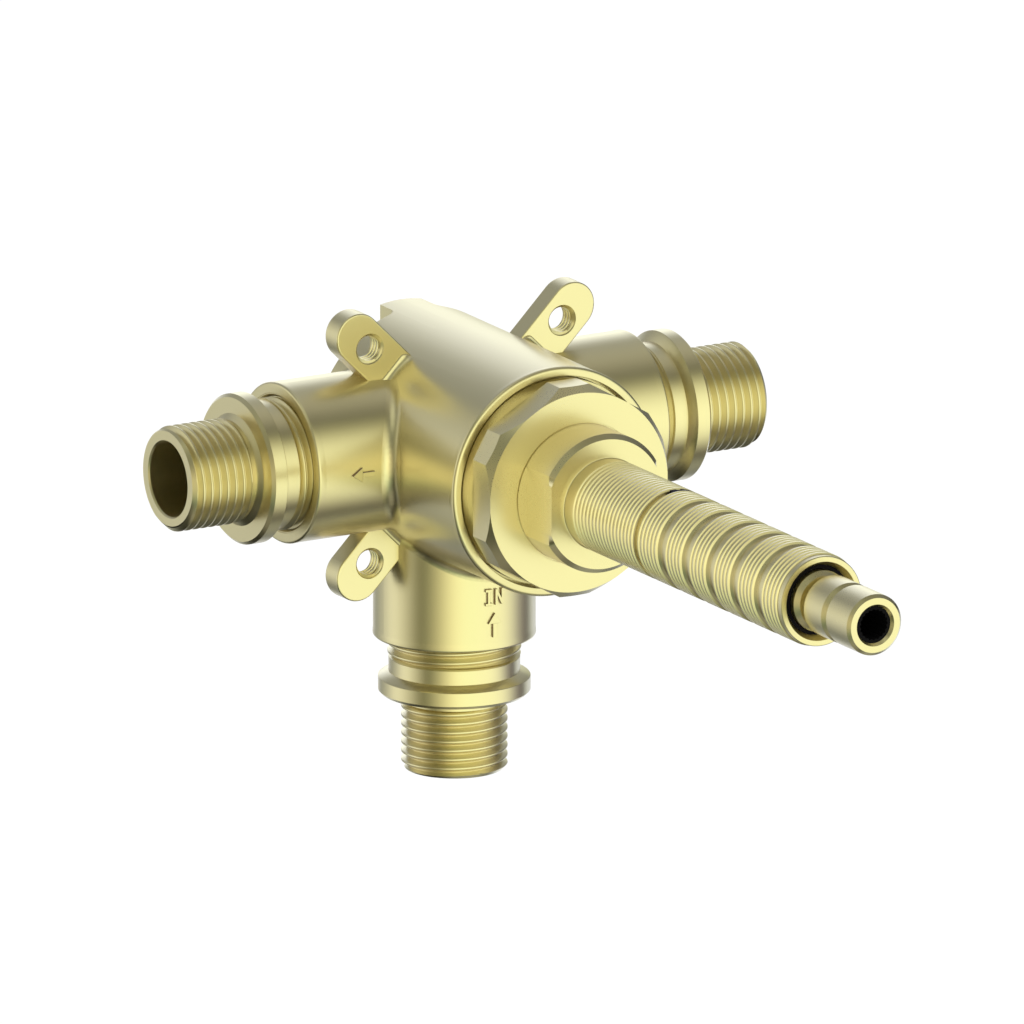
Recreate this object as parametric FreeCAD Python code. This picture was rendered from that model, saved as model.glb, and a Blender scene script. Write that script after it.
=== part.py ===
import FreeCAD, Part
import math
import os

# Concealed shower diverter valve, in millimetres, +Z up.
# The origin is where the three port axes cross the barrel's axis.
# Ports: inlet down (-Z), outlets left (-X) and right (+X). The spindle points forward, along -Y.
# "Forward" below is the distance from the port plane toward the spindle's end,
# "reach" is the distance from the barrel's axis along a port, and "_r" is a radius.

Vector = FreeCAD.Vector
ORIGIN = Vector(0, 0, 0)
FORWARD = Vector(0, -1, 0)

# Clearances between pieces
thread_gap = 0.1       # a plain screw thread in its plain hole
shaft_gap = 0.1        # a turning shaft in its bore
press_gap = 0.05       # a piece pushed into its bore
loose_gap = 0.3        # a piece dropped into a wider bore
film_gap = 0.05        # the water film between the two ceramic discs
nose_gap = 0.35        # the cartridge's nose in the sleeve

join_tolerance = 0.001
fan_step = 40.0        # widest slice of a sector's outline, in degrees
flank_angle = 30.0     # of a thread's flank, from the plane across its axis

# Body casting
barrel_r = 23.1
back_at = -14.6        # flat back of the barrel
barrel_wall = 2.3      # outside the nut's thread
rim_width = 1.7        # bright ring round the mouth
mouth_depth = 2.5
boss_r = 16.0
boss_reach = 39.8
boss_blend = 2.7       # cast fillet where a boss leaves the barrel
edge_break = 0.4
rib_width = 9.4        # upright rib across the back
rib_height = 6.4
rib_blend = 2.0

# Lugs with their tapped M6 holes
lug_pitch = 43.6       # side of the square of holes
lug_hole_r = 3.0
lug_hole_break = 0.15
lug_tip_r = 4.9        # half the lug's width and its round end
lug_overhang = 3.54    # from the hole to the centre of the round end
lug_front = 4.6
lug_thickness = 4.85
lug_edge = 0.35

# Nipples: three-quarter inch pipe thread in the boss, half inch pipe thread outside
boss_thread_r = 13.22
port_thread_r = 10.478
port_thread_depth = 1.162
port_thread_pitch = 1.814
port_crest_width = 1.364      # lands between the narrow grooves that stand for the thread
port_groove_depth = 0.3
port_first_crest = 0.65       # middle of the first land, in front of the thread's start
port_crest_count = 7
port_bore_r = 7.5
bore_break = 0.3
neck_r = 12.95
flange_r = 15.0
flange_band = 2.7
flange_break = 0.65
flange_back_slope = 1.1
neck_length = 2.95
boss_thread_length = 13.45
relief_length = 2.2
port_thread_length = 13.1
end_break = 0.85
# each nipple is screwed in by its own amount: reach of its flange's back edge
flange_at = {"left": 46.35, "right": 46.7, "inlet": 48.3}
washer_thickness = 1.5

# Water ways inside the body
port_way_end = 17.0    # reach at which a port narrows to its gallery
gallery_r = 5.0
gallery_end = 6.8      # reach of the gallery's blind end
floor_at = 12.0        # cavity floor, forward of the port plane
hole_circle_r = 9.5    # the three holes through floor, seal and fixed disc
hole_r = 3.2

# Ceramic cartridge
disc_r = 15.0
fixed_disc_thickness = 4.0
moving_disc_thickness = 3.4
moving_disc_undercut = 0.8
seal_thickness = 2.0
seal_undercut = 0.8
pocket_depth = 2.0
pocket_half_angle = 84.0
housing_wall = 2.0
housing_length = 16.4
housing_front_wall = 2.4
key_width = 3.0
key_depth = 1.0
locating_pin_r = 0.9
locating_pin_length = 2.0
locating_pin_angle = 45.0
housing_ring_forward = 8.0    # forward of the floor
ring_section_r = 0.68
ring_bite = 1.1               # depth of the housing's ring groove
nose_wall = 3.6
nose_length = 21.6
driver_thickness = 1.8
driver_undercut = 0.6
dog_width = 3.0
dog_depth = 1.1
tang_width = 3.8
tang_length = 14.0
slip_washer_thickness = 0.5
turn_limit = 45.0             # each way, between stop faces
stop_half_angle = 8.0
stop_margin_angle = 1.0
stop_depth = 2.4

# Stem, its rings and its clip
stem_r = 5.0
stem_head_r = 9.0
stem_ring_r = 0.6
stem_ring_places = (5.6, 11.6)  # forward of the housing's front
stem_groove_width = 2.0
clip_thickness = 0.8
clip_outer_r = 6.6
clip_seat_r = 4.2
clip_mouth_width = 5.0
spline_r = 4.0
spline_tooth = 0.4
spline_teeth = 20
spline_length = 9.0
spline_shoulder = 3.0           # plain stem in front of the nose

# Clamp nut
nut_skirt = 8.3
nut_relief = 1.2                # depth of the groove between thread and hexagon
nut_gap = 2.5                   # between the mouth's rim and the hexagon
nut_flat = 20.1                 # half the width across flats
nut_corner_flat = 21.3          # half the width across the cut corners
nut_thickness = 6.8
nut_face_r = 20.15
nut_steepness = 1.35            # of the face's chamfer, length over radius
nut_hole_gap = 0.25

# Threaded sleeve
sleeve_flange = 3.0
sleeve_flange_inset = 1.9       # inside the nut's thread
base_r = 14.05
base_stand = 9.3                # cylinder in front of the nut's face
base_break = 0.95
base_flat = 12.15               # half the width across the two wrench flats
base_flat_length = 9.9
sleeve_neck_r = 8.95
sleeve_neck_length = 3.45
sleeve_thread_r = 9.4
sleeve_thread_length = 80.7
sleeve_thread_depth = 0.3
sleeve_thread_pitch = 1.349
sleeve_crest_width = 0.5
sleeve_first_crest = -0.13      # middle of the first crest, which the neck cuts off
lip_length = 0.9
lip_r = 9.1
lip_countersink = 0.95
lip_recess = 1.5
groove_r = 8.45
groove_slope = 0.55             # forward run of a groove's slanted side
narrow_groove = (24.6, 0.9)     # forward of the thread's start, floor width
wide_groove_start = 34.6
wide_groove_pitch = 9.4
wide_groove_floor = 1.7
wide_groove_count = 5
window_width = 1.7
window_spans = ((88.0, 97.0), (66.0, 82.5))  # angles round the sleeve, from +X toward +Z

# Liner, spindle, insert and screw
liner_wall = 0.7
spindle_r = 6.2
spindle_stand = 21.2            # spindle in front of the sleeve's lip
spindle_bore_r = 3.75
spindle_end_break = 0.65
spindle_mouth_break = 0.5
spindle_web = 3.0
spindle_segment = 10.7          # from the end to each groove's back edge, and between them
spindle_groove_depth = 0.9
spindle_groove_widths = (2.0, 4.0)
insert_length = 12.0
insert_spline_r = 3.2
insert_spline_tooth = 0.3
screw_r = 1.95
screw_head_r = 3.2
screw_head_height = 2.4
screw_grip = 5.0
screw_slot_width = 0.9
screw_slot_depth = 1.1

# Stations forward of the port plane, in the order of assembly
seal_front = floor_at + seal_thickness
fixed_disc_front = seal_front + fixed_disc_thickness
moving_disc_back = fixed_disc_front + film_gap
moving_disc_front = moving_disc_back + moving_disc_thickness
driver_back = moving_disc_front + film_gap
driver_front = driver_back + driver_thickness
housing_front = floor_at + housing_length
housing_ceiling = housing_front - housing_front_wall
slip_washer_back = housing_ceiling - slip_washer_thickness
stem_head_front = slip_washer_back - film_gap
stem_head_back = driver_front + film_gap
nose_front = housing_front + nose_length
sleeve_flange_front = housing_front + sleeve_flange
barrel_front = sleeve_flange_front + nut_skirt
hexagon_back = barrel_front + nut_gap
nut_front = hexagon_back + nut_thickness
base_front = nut_front + base_stand
neck_back = base_front + base_break
thread_start = neck_back + sleeve_neck_length
thread_end = thread_start + sleeve_thread_length
lip_front = thread_end + lip_length
liner_front = lip_front - lip_recess
spline_back = nose_front + spline_shoulder
stem_front = spline_back + spline_length
spindle_back = spline_back + loose_gap
socket_front = stem_front + loose_gap
web_front = socket_front + spindle_web
spindle_front = lip_front + spindle_stand
clip_back = nose_front + 2 * shaft_gap
sleeve_step = spindle_back + loose_gap

# Radii that follow from their neighbours
housing_bore_r = disc_r + 2 * shaft_gap
housing_r = housing_bore_r + housing_wall
cavity_r = housing_r + loose_gap
nose_bore_r = stem_r + shaft_gap
nose_r = nose_bore_r + nose_wall
nose_room_r = nose_r + nose_gap
nut_bore_r = base_r + nut_hole_gap
nut_thread_r = barrel_r - barrel_wall
nut_relief_r = nut_thread_r - nut_relief
sleeve_flange_r = nut_thread_r - sleeve_flange_inset
body_thread_r = nut_thread_r + thread_gap
mouth_r = barrel_r - rim_width
moving_disc_r = disc_r - moving_disc_undercut
driver_r = disc_r - driver_undercut
seal_r = disc_r - seal_undercut
liner_bore_r = spindle_r + shaft_gap
liner_r = liner_bore_r + liner_wall
sleeve_bore_r = liner_r + press_gap
spindle_neck_r = spindle_r - spindle_groove_depth
lug_radius = lug_pitch / math.sqrt(2)

PORT_ANGLES = {"right": 90, "inlet": 180, "left": 270}
LUG_ANGLES = (45, 135, 225, 315)


def turned(corners):
    """Solid turned about the barrel's axis; corners are (radius, forward)."""
    points = [Vector(radius, -forward, 0) for radius, forward in corners]
    face = Part.Face(Part.makePolygon(points + points[:1]))
    return face.revolve(ORIGIN, Vector(0, 1, 0), 360)


def tube(outer_r, inner_r, back, front):
    """Ring turned about the barrel's axis; an inner radius of 0 makes a full cylinder."""
    return turned([(inner_r, back), (outer_r, back), (outer_r, front), (inner_r, front)])


def port_turned(corners, side):
    """Solid turned about a port's axis; corners are (radius, reach)."""
    points = [Vector(radius, 0, reach) for radius, reach in corners]
    face = Part.Face(Part.makePolygon(points + points[:1]))
    solid = face.revolve(ORIGIN, Vector(0, 0, 1), 360)
    solid.rotate(ORIGIN, Vector(0, 1, 0), PORT_ANGLES[side])
    return solid


def forward_prism(corners, back, front):
    """Prism with its outline in X and Z, from one forward station to the other."""
    points = [Vector(x, -back, z) for x, z in corners]
    face = Part.Face(Part.makePolygon(points + points[:1]))
    return face.extrude(FORWARD * (front - back))


def forward_block(width, height, back, front, lift=0.0):
    """Block of a width along X and a height along Z, its centre raised by lift."""
    x = width / 2
    z = height / 2
    return forward_prism([(-x, lift - z), (x, lift - z), (x, lift + z), (-x, lift + z)], back, front)


def sector(outer_r, inner_r, start, stop, back, front):
    """Part of a ring between two angles, counted from +X toward +Z."""
    reach = 2 * outer_r
    slices = math.ceil((stop - start) / fan_step)
    angles = [math.radians(start + (stop - start) * i / slices) for i in range(slices + 1)]
    fan = [(0, 0)] + [(reach * math.cos(a), reach * math.sin(a)) for a in angles]
    return tube(outer_r, inner_r, back, front).common(forward_prism(fan, back, front))


def around(shape, angle):
    """Copy turned about the barrel's axis, from +Z toward +X."""
    copy = shape.copy()
    copy.rotate(ORIGIN, Vector(0, 1, 0), angle)
    return copy


def three_holes(back, front):
    """The inlet hole and the two outlet holes on their circle."""
    hole = Part.makeCylinder(hole_r, front - back, Vector(0, -back, hole_circle_r), FORWARD)
    return [around(hole, angle) for angle in PORT_ANGLES.values()]


def splined(tip_r, root_r, teeth, back, front):
    """Bar with straight-sided teeth, for a splined shaft or for cutting a splined hole."""
    step = math.pi / teeth
    corners = []
    for i in range(2 * teeth):
        radius = tip_r if i % 2 == 0 else root_r
        corners.append((radius * math.sin(i * step), radius * math.cos(i * step)))
    return forward_prism(corners, back, front)


def rubber_ring(centre_r, section_r, forward):
    """Round rubber ring about the barrel's axis."""
    return Part.makeTorus(centre_r, section_r, Vector(0, -forward, 0), Vector(0, 1, 0))


def nipple_end(side):
    """Reach of a nipple's inner end."""
    return flange_at[side] - flange_back_slope - neck_length - boss_thread_length


def washer_floor(side):
    """Reach of the floor that a port's washer lies on."""
    return nipple_end(side) - washer_thickness


def boss_tip(side):
    """Boss as cast, from the barrel's axis to its faced end with a broken edge."""
    return port_turned([
        (0, 0),
        (boss_r, 0),
        (boss_r, boss_reach - edge_break),
        (boss_r - edge_break, boss_reach),
        (0, boss_reach),
    ], side)


def port_way(side):
    """Everything cut along a port's axis: tapped hole, water way and blind gallery."""
    floor = washer_floor(side)
    thread_hole_r = boss_thread_r + thread_gap
    return port_turned([
        (0, gallery_end),
        (gallery_r, gallery_end),
        (gallery_r, port_way_end),
        (port_bore_r, port_way_end),
        (port_bore_r, floor),
        (thread_hole_r, floor),
        (thread_hole_r, boss_reach - edge_break),
        (thread_hole_r + edge_break, boss_reach),
        (0, boss_reach),
    ], side)


def lug(angle):
    """Flat lug with a round end, before its hole is drilled."""
    back = lug_front - lug_thickness
    tip = lug_radius + lug_overhang
    plate = forward_block(2 * lug_tip_r, tip, back, lug_front, tip / 2)
    end = Part.makeCylinder(lug_tip_r, lug_thickness, Vector(0, -back, tip), FORWARD)
    shape = plate.fuse(end).removeSplitter()
    rim = [edge for edge in shape.Edges
           if edge.BoundBox.YLength < edge_break and edge.BoundBox.ZMax > barrel_r]
    return around(shape.makeFillet(lug_edge, rim), angle)


def lug_hole(angle):
    """Hole of a lug with both mouths broken."""
    back = lug_front - lug_thickness
    wide_r = lug_hole_r + lug_hole_break
    drill = turned([
        (0, back),
        (wide_r, back),
        (lug_hole_r, back + lug_hole_break),
        (lug_hole_r, lug_front - lug_hole_break),
        (wide_r, lug_front),
        (0, lug_front),
    ])
    drill.translate(Vector(0, 0, lug_radius))
    return around(drill, angle)


def rooted_boss(side):
    """One boss on an over-long barrel, with the cast fillet all round its root."""
    barrel = tube(barrel_r, 0, back_at - boss_r, barrel_front)
    shape = barrel.fuse(boss_tip(side))
    root = [edge for edge in shape.Edges if isinstance(edge.Curve, Part.BSplineCurve)]
    return shape.makeFillet(boss_blend, root)


def valve_body():
    """Casting with barrel, bosses, lugs and rib, then its machined bores."""
    first, *others = [rooted_boss(side) for side in PORT_ANGLES]
    casting = first.fuse(others, join_tolerance)
    behind = tube(2 * boss_reach, 0, back_at - 2 * boss_r, back_at)
    casting = casting.cut(behind.cut([boss_tip(side) for side in PORT_ANGLES]))
    rib_back = back_at - rib_height
    rib = forward_block(rib_width, 2 * barrel_r, rib_back, 0).common(tube(barrel_r, 0, rib_back, 0))
    casting = casting.fuse([rib, rib_fillet()] + [lug(angle) for angle in LUG_ANGLES])
    shoulder = housing_front - press_gap
    cavity = turned([
        (0, floor_at),
        (cavity_r, floor_at),
        (cavity_r, shoulder),
        (body_thread_r, shoulder),
        (body_thread_r, barrel_front - mouth_depth),
        (mouth_r, barrel_front - mouth_depth),
        (mouth_r, barrel_front),
        (0, barrel_front),
    ])
    rim = turned([
        (barrel_r - edge_break, barrel_front),
        (barrel_r + edge_break, barrel_front - 2 * edge_break),
        (barrel_r + edge_break, barrel_front),
    ])
    cuts = [cavity, rim]
    cuts += [port_way(side) for side in PORT_ANGLES]
    cuts += [lug_hole(angle) for angle in LUG_ANGLES]
    cuts += three_holes(0, floor_at)
    cuts += locating_pins(locating_pin_r + shaft_gap, locating_pin_length + loose_gap)
    return casting.cut(cuts)


def rib_fillet():
    """Hollow fillets on both sides of the rib's root, trimmed to the barrel."""
    side = rib_width / 2
    back = back_at - rib_blend
    block = forward_block(rib_width + 2 * rib_blend, 2 * barrel_r, back, back_at)
    rounds = [Part.makeCylinder(rib_blend, 2 * barrel_r, Vector(x, -back, -barrel_r), Vector(0, 0, 1))
              for x in (-side - rib_blend, side + rib_blend)]
    return block.cut(rounds).common(tube(barrel_r, 0, back, back_at))


def locating_pins(radius, length):
    """Two pins behind the housing, or the holes that take them."""
    circle_r = (housing_bore_r + housing_r) / 2
    pin = Part.makeCylinder(radius, length, Vector(0, length - floor_at, circle_r), FORWARD)
    return [around(pin, locating_pin_angle), around(pin, locating_pin_angle + 180)]


def ridges(first, count, pitch, crest_width, crest_r, root_r):
    """Outline of a thread drawn as equal rings; first is the middle of the first crest."""
    foot = crest_width / 2 + flank_run(crest_r - root_r)
    outline = []
    for i in range(count):
        middle = first + i * pitch
        outline += [
            (root_r, middle - foot),
            (crest_r, middle - crest_width / 2),
            (crest_r, middle + crest_width / 2),
            (root_r, middle + foot),
        ]
    return outline


def flank_run(depth):
    """Length along the axis of a thread's flank of the depth given."""
    return depth * math.tan(math.radians(flank_angle))


def nipple(side):
    """Flanged nipple: boss thread plain at the crests, port thread as lands between narrow grooves."""
    root_r = port_thread_r - port_thread_depth
    groove_r = port_thread_r - port_groove_depth
    inner = nipple_end(side)
    edge = flange_at[side]
    face = edge + flange_band + flange_break
    thread_back = face + relief_length
    outer = thread_back + port_thread_length
    first = thread_back + port_first_crest
    rings = ridges(first, port_crest_count, port_thread_pitch, port_crest_width, port_thread_r, groove_r)
    lands = rings[1:-1]
    foot = lands[0][1] - flank_run(port_thread_depth)
    end_slope = outer - lands[-1][1]
    return port_turned([
        (port_bore_r, inner),
        (boss_thread_r - end_break, inner),
        (boss_thread_r, inner + end_break),
        (boss_thread_r, inner + boss_thread_length),
        (neck_r, inner + boss_thread_length),
        (neck_r, edge - flange_back_slope),
        (flange_r, edge),
        (flange_r, edge + flange_band),
        (flange_r - flange_break, face),
        (root_r, face),
        (root_r, foot),
        *lands,
        (port_thread_r - end_slope, outer),
        (port_bore_r + bore_break, outer),
        (port_bore_r, outer - bore_break),
    ], side)


def port_washers():
    """The three flat washers under the nipples' inner ends."""
    outer_r = boss_thread_r - thread_gap
    rings = []
    for side in PORT_ANGLES:
        floor = washer_floor(side)
        seat = floor + washer_thickness
        rings.append(port_turned(
            [(port_bore_r, floor), (outer_r, floor), (outer_r, seat), (port_bore_r, seat)], side))
    return Part.makeCompound(rings)


def base_seal():
    """Rubber disc that joins the floor's holes to those of the fixed disc."""
    return tube(seal_r, 0, floor_at, seal_front).cut(three_holes(floor_at, seal_front))


def fixed_disc():
    """Ceramic disc with three holes and two key notches in its rim."""
    disc = tube(disc_r, 0, seal_front, fixed_disc_front)
    bar = forward_block(key_width + 2 * press_gap, 2 * housing_r, seal_front, fixed_disc_front)
    notches = bar.cut(tube(disc_r - key_depth - press_gap, 0, seal_front, fixed_disc_front))
    return disc.cut(three_holes(seal_front, fixed_disc_front) + [notches])


def moving_disc():
    """Ceramic disc with the pocket that joins the inlet to an outlet, and two drive notches."""
    disc = tube(moving_disc_r, 0, moving_disc_back, moving_disc_front)
    pocket = sector(hole_circle_r + hole_r, hole_circle_r - hole_r,
                    270 - pocket_half_angle, 270 + pocket_half_angle,
                    moving_disc_back, moving_disc_back + pocket_depth)
    return disc.cut([pocket] + dogs(press_gap, moving_disc_back, moving_disc_front))


def dogs(gap, back, front):
    """Two blocks at the left and right of the moving disc's rim; gap widens them."""
    inner = moving_disc_r - dog_depth - gap
    outer = moving_disc_r + gap
    z = dog_width / 2 + gap
    blocks = []
    for sign in (1, -1):
        blocks.append(forward_prism(
            [(sign * inner, -z), (sign * outer, -z), (sign * outer, z), (sign * inner, z)], back, front))
    return blocks


def disc_driver():
    """Carrier with two dogs in the moving disc, a slot for the tang and the stop notch."""
    ring = tube(driver_r, 0, driver_back, driver_front)
    room = turn_limit + stop_half_angle + stop_margin_angle
    notch = sector(driver_r + loose_gap, driver_r - stop_depth,
                   90 - room, 90 + room, driver_back, driver_front)
    slot = forward_block(tang_length + 2 * press_gap, tang_width + 2 * press_gap, driver_back, driver_front)
    claws = dogs(0, moving_disc_back + film_gap, driver_back)
    return ring.cut([notch, slot]).fuse(claws).removeSplitter()


def cartridge_housing():
    """Cup with nose: holds the discs, guides the stem, carries the ring and the stop."""
    shell = turned([
        (housing_bore_r, floor_at),
        (housing_r, floor_at),
        (housing_r, housing_front),
        (nose_r, housing_front),
        (nose_r, nose_front - edge_break),
        (nose_r - edge_break, nose_front),
        (nose_bore_r, nose_front),
        (nose_bore_r, housing_ceiling),
        (housing_bore_r, housing_ceiling),
    ])
    inside_wall = housing_bore_r + housing_wall / 2
    keys = forward_block(key_width, 2 * housing_r, seal_front, fixed_disc_front).common(
        tube(inside_wall, disc_r - key_depth, seal_front, fixed_disc_front))
    stop = sector(inside_wall, driver_r - stop_depth + loose_gap,
                  90 - stop_half_angle, 90 + stop_half_angle, driver_back, housing_ceiling)
    groove_mid = floor_at + housing_ring_forward
    groove = tube(housing_r + loose_gap, housing_r - ring_bite,
                  groove_mid - ring_section_r - press_gap, groove_mid + ring_section_r + press_gap)
    pins = locating_pins(locating_pin_r, locating_pin_length)
    return shell.fuse([keys, stop] + pins).cut(groove).removeSplitter()


def housing_ring():
    """Rubber ring in the housing's groove."""
    centre_r = housing_r - ring_bite + ring_section_r
    return rubber_ring(centre_r, ring_section_r, floor_at + housing_ring_forward)


def valve_stem():
    """Stem with tang, head, two ring grooves, clip groove, splined end and tapped hole."""
    shaft = turned([
        (0, stem_head_back),
        (stem_head_r, stem_head_back),
        (stem_head_r, stem_head_front),
        (stem_r, stem_head_front),
        (stem_r, spline_back),
        (0, spline_back),
    ])
    grooves = [tube(stem_r + loose_gap, stem_r - press_gap - 2 * stem_ring_r,
                    housing_front + place - stem_groove_width / 2,
                    housing_front + place + stem_groove_width / 2) for place in stem_ring_places]
    clip_groove = tube(stem_r + loose_gap, clip_seat_r, clip_back - press_gap,
                       clip_back + clip_thickness + press_gap)
    tang = forward_block(tang_length, tang_width, driver_back, stem_head_back)
    spline = splined(spline_r, spline_r - spline_tooth, spline_teeth, spline_back, stem_front)
    tapped = tube(screw_r + press_gap, 0, web_front - spindle_web - screw_grip - 2 * loose_gap, stem_front)
    return shaft.fuse([tang, spline]).cut(grooves + [clip_groove, tapped])


def stem_rings():
    """Two rubber rings in the stem's grooves."""
    centre_r = stem_r - press_gap - stem_ring_r
    return Part.makeCompound([
        rubber_ring(centre_r, stem_ring_r, housing_front + place) for place in stem_ring_places])


def slip_washer():
    """Plastic thrust washer between the stem's head and the housing."""
    return tube(stem_head_r, nose_bore_r, slip_washer_back, housing_ceiling)


def stem_clip():
    """Open spring clip that keeps the stem in the housing."""
    ring = tube(clip_outer_r, clip_seat_r + press_gap, clip_back, clip_back + clip_thickness)
    mouth = forward_block(clip_mouth_width, clip_outer_r, clip_back, clip_back + clip_thickness,
                          -clip_outer_r)
    return ring.cut(mouth)


def hexagon(half_flat, first_angle, back, front):
    """Six-sided prism with its first side facing the angle given."""
    corner_r = half_flat / math.cos(math.pi / 6)
    angles = [math.radians(first_angle + 30 + 60 * i) for i in range(6)]
    return forward_prism([(corner_r * math.cos(a), corner_r * math.sin(a)) for a in angles], back, front)


def clamp_nut():
    """Nut with a threaded skirt, a hexagon with cut corners and a chamfered face."""
    skirt = turned([
        (nut_bore_r, sleeve_flange_front),
        (nut_thread_r - edge_break, sleeve_flange_front),
        (nut_thread_r, sleeve_flange_front + edge_break),
        (nut_thread_r, barrel_front - edge_break),
        (nut_relief_r, barrel_front - edge_break),
        (nut_relief_r, hexagon_back),
        (nut_bore_r, hexagon_back),
    ])
    cone = turned([
        (0, hexagon_back),
        (nut_face_r + nut_thickness / nut_steepness, hexagon_back),
        (nut_face_r, nut_front),
        (0, nut_front),
    ])
    head = hexagon(nut_flat, 0, hexagon_back, nut_front)
    head = head.common(hexagon(nut_corner_flat, 30, hexagon_back, nut_front))
    head = head.common(cone)
    return head.cut(tube(nut_bore_r, 0, hexagon_back, nut_front)).fuse(skirt).removeSplitter()


def groove_rings():
    """Break-off grooves of the sleeve: (middle, floor width), forward of the port plane."""
    offset, floor_width = narrow_groove
    rings = [(thread_start + offset, floor_width)]
    for i in range(wide_groove_count):
        middle = thread_start + wide_groove_start + i * wide_groove_pitch
        rings.append((middle, wide_groove_floor))
    return rings


def window_blocks(outer_r, inner_r, gap):
    """Blocks in the two windows of the first groove, smaller by gap on every side."""
    middle = groove_rings()[0][0]
    half = window_width / 2 - gap
    margin = math.degrees(gap / sleeve_bore_r)
    return [sector(outer_r, inner_r, start + margin, stop - margin, middle - half, middle + half)
            for start, stop in window_spans]


def threaded_sleeve():
    """Sleeve with flange, wrench flats, thread drawn as rings, grooves, windows and lip."""
    root_r = sleeve_thread_r - sleeve_thread_depth
    half_crest = sleeve_crest_width / 2
    first = thread_start + sleeve_first_crest
    count = int((thread_end - first - half_crest) / sleeve_thread_pitch)
    rings = ridges(first + sleeve_thread_pitch, count, sleeve_thread_pitch, sleeve_crest_width,
                   sleeve_thread_r, root_r)
    last_crest = first + (count + 1) * sleeve_thread_pitch - half_crest
    shell = turned([
        (nose_room_r, housing_front),
        (sleeve_flange_r, housing_front),
        (sleeve_flange_r, sleeve_flange_front),
        (base_r, sleeve_flange_front),
        (base_r, base_front),
        (base_r - base_break, neck_back),
        (sleeve_neck_r, neck_back),
        (sleeve_neck_r, thread_start),
        (sleeve_thread_r, thread_start),
        (sleeve_thread_r, first + half_crest),
        (root_r, first + half_crest + flank_run(sleeve_thread_depth)),
        *rings,
        (root_r, last_crest - flank_run(sleeve_thread_depth)),
        (sleeve_thread_r, last_crest),
        (sleeve_thread_r, thread_end),
        (lip_r, thread_end),
        (lip_r, lip_front),
        (sleeve_bore_r + lip_countersink, lip_front),
        (sleeve_bore_r, liner_front),
        (sleeve_bore_r, sleeve_step),
        (nose_room_r, sleeve_step),
    ])
    cuts = []
    for middle, floor_width in groove_rings():
        half = floor_width / 2
        open_r = sleeve_thread_r + edge_break
        rise = groove_slope * (open_r - groove_r) / (sleeve_thread_r - groove_r)
        cuts.append(turned([
            (groove_r, middle - half),
            (groove_r, middle + half),
            (open_r, middle + half + rise),
            (open_r, middle - half - rise),
        ]))
    cuts += window_blocks(sleeve_thread_r + edge_break, sleeve_bore_r - loose_gap, 0)
    flat_back = neck_back - base_flat_length
    flat_depth = base_r - base_flat
    for sign in (1, -1):
        x = sign * base_flat
        far = x + sign * 2 * flat_depth
        cuts.append(forward_prism([(x, -base_r), (far, -base_r), (far, base_r), (x, base_r)],
                                  flat_back, neck_back))
    return shell.cut(cuts)


def guide_liner():
    """Plastic tube between sleeve and spindle, its two snap tabs filling the sleeve's windows."""
    shell = tube(liner_r, liner_bore_r, sleeve_step + loose_gap, liner_front)
    tabs = window_blocks(sleeve_thread_r - press_gap, liner_bore_r + liner_wall / 2, press_gap)
    return shell.fuse(tabs).removeSplitter()


def spindle():
    """Extension spindle: socket for the stem, web for the screw, long bore, two grooves."""
    chamfer_r = spindle_r - spindle_end_break
    outline = [
        (0, spindle_back),
        (spindle_r, spindle_back),
    ]
    for i in reversed(range(len(spindle_groove_widths))):
        back = spindle_front - spindle_segment * (i + 1)
        front = back + spindle_groove_widths[i]
        outline += [
            (spindle_r, back),
            (spindle_neck_r, back + spindle_groove_depth),
            (spindle_neck_r, front),
            (spindle_r, front),
        ]
    outline += [
        (spindle_r, spindle_front - spindle_end_break),
        (chamfer_r, spindle_front),
        (0, spindle_front),
    ]
    bore = turned([
        (0, web_front),
        (spindle_bore_r, web_front),
        (spindle_bore_r, spindle_front - spindle_end_break),
        (spindle_bore_r + spindle_mouth_break, spindle_front),
        (0, spindle_front),
    ])
    socket_r = spline_r + press_gap
    socket = splined(socket_r, socket_r - spline_tooth + press_gap, spline_teeth, spindle_back, socket_front)
    screw_way = tube(screw_r + loose_gap, 0, socket_front, web_front)
    return turned(outline).cut([bore, socket, screw_way])


def handle_insert():
    """Plastic insert with a splined hole, pushed into the spindle's bored end."""
    front = spindle_front - spindle_end_break
    back = front - insert_length
    hole = splined(insert_spline_r, insert_spline_r - insert_spline_tooth, spline_teeth, back, front)
    return tube(spindle_bore_r - press_gap, 0, back, front).cut(hole)


def spindle_screw():
    """Slotted screw from the spindle's web into the stem."""
    head_front = web_front + screw_head_height
    shape = turned([
        (0, web_front - spindle_web - screw_grip),
        (screw_r, web_front - spindle_web - screw_grip),
        (screw_r, web_front),
        (screw_head_r, web_front),
        (screw_head_r, head_front),
        (0, head_front),
    ])
    return shape.cut(forward_block(2 * screw_head_r + loose_gap, screw_slot_width,
                                   head_front - screw_slot_depth, head_front))


PIECES = {
    "valve_body": valve_body,
    "inlet_nipple": lambda: nipple("inlet"),
    "left_outlet_nipple": lambda: nipple("left"),
    "right_outlet_nipple": lambda: nipple("right"),
    "port_washers": port_washers,
    "base_seal": base_seal,
    "fixed_disc": fixed_disc,
    "moving_disc": moving_disc,
    "disc_driver": disc_driver,
    "cartridge_housing": cartridge_housing,
    "housing_ring": housing_ring,
    "slip_washer": slip_washer,
    "valve_stem": valve_stem,
    "stem_rings": stem_rings,
    "stem_clip": stem_clip,
    "clamp_nut": clamp_nut,
    "threaded_sleeve": threaded_sleeve,
    "guide_liner": guide_liner,
    "spindle": spindle,
    "handle_insert": handle_insert,
    "spindle_screw": spindle_screw,
}

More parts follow.
